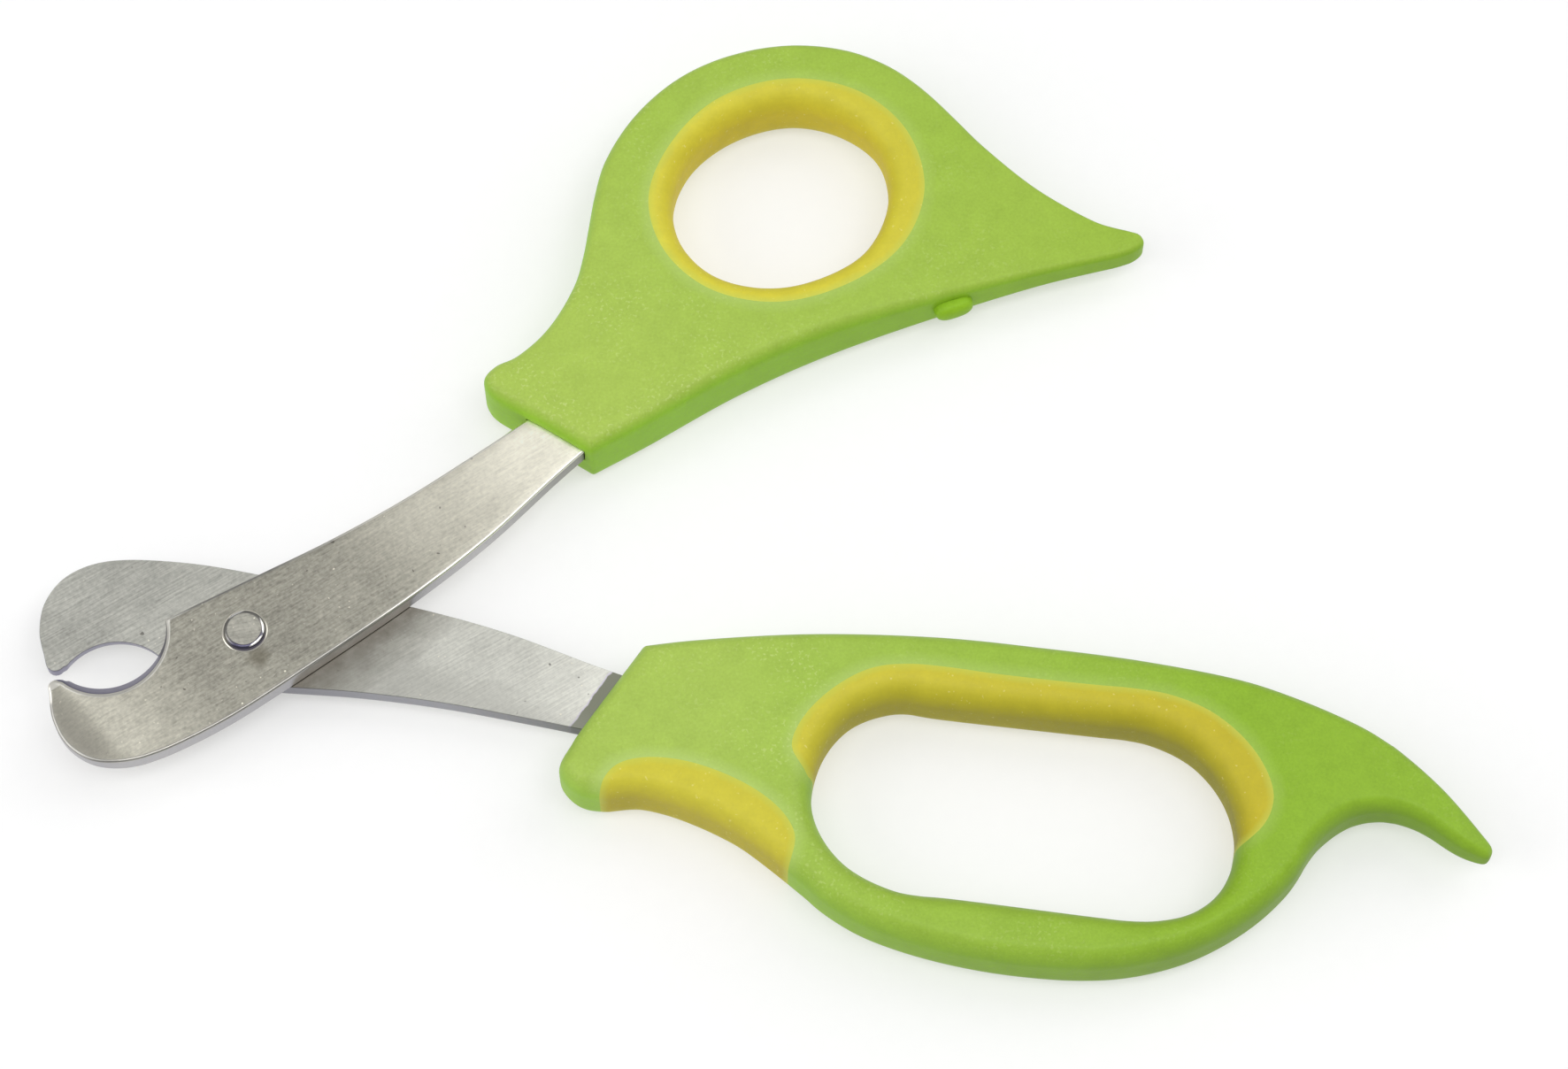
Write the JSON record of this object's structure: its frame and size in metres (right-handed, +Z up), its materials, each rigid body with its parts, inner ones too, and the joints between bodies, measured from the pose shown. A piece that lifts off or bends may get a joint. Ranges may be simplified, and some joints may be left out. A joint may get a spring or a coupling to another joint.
{
  "type": "pet nail trimmer",
  "caption": "Scissor-action pet nail trimmer: notched steel jaws on a rivet, a thumb ring handle and a long finger loop handle with soft grips.",
  "frame": {"origin": "centre of the whole trimmer's footprint in its rest pose, on the plane its handles lie on", "axes": "+X from the jaws towards the handles' tails, +Y from the finger handle towards the thumb handle, +Z up along the rivet's axis"},
  "size_m": [0.1454, 0.1018, 0.0084],
  "materials": {
    "blade_steel": "brushed flat faces, ground notch",
    "rivet_steel": "bright rolled head",
    "green_plastic": "satin moulded polypropylene",
    "yellow_rubber": "soft matt overmoulded rubber"
  },
  "bodies": {
    "finger_half": {"finger_blade": "blade_steel", "finger_handle": "green_plastic", "finger_loop_grip": "yellow_rubber", "index_rest_grip": "yellow_rubber", "pivot_rivet": "rivet_steel"},
    "thumb_half": {"thumb_blade": "blade_steel", "thumb_handle": "green_plastic", "thumb_ring_grip": "yellow_rubber"}
  },
  "joints": [
    {"name": "blade_pivot", "type": "hinge", "parent": "finger_half", "child": "thumb_half", "pos_m": [-0.05165, -0.0155, 0.0042], "axis": [0, 0, 1], "range_deg": [-27.8, 45]}
  ]
}
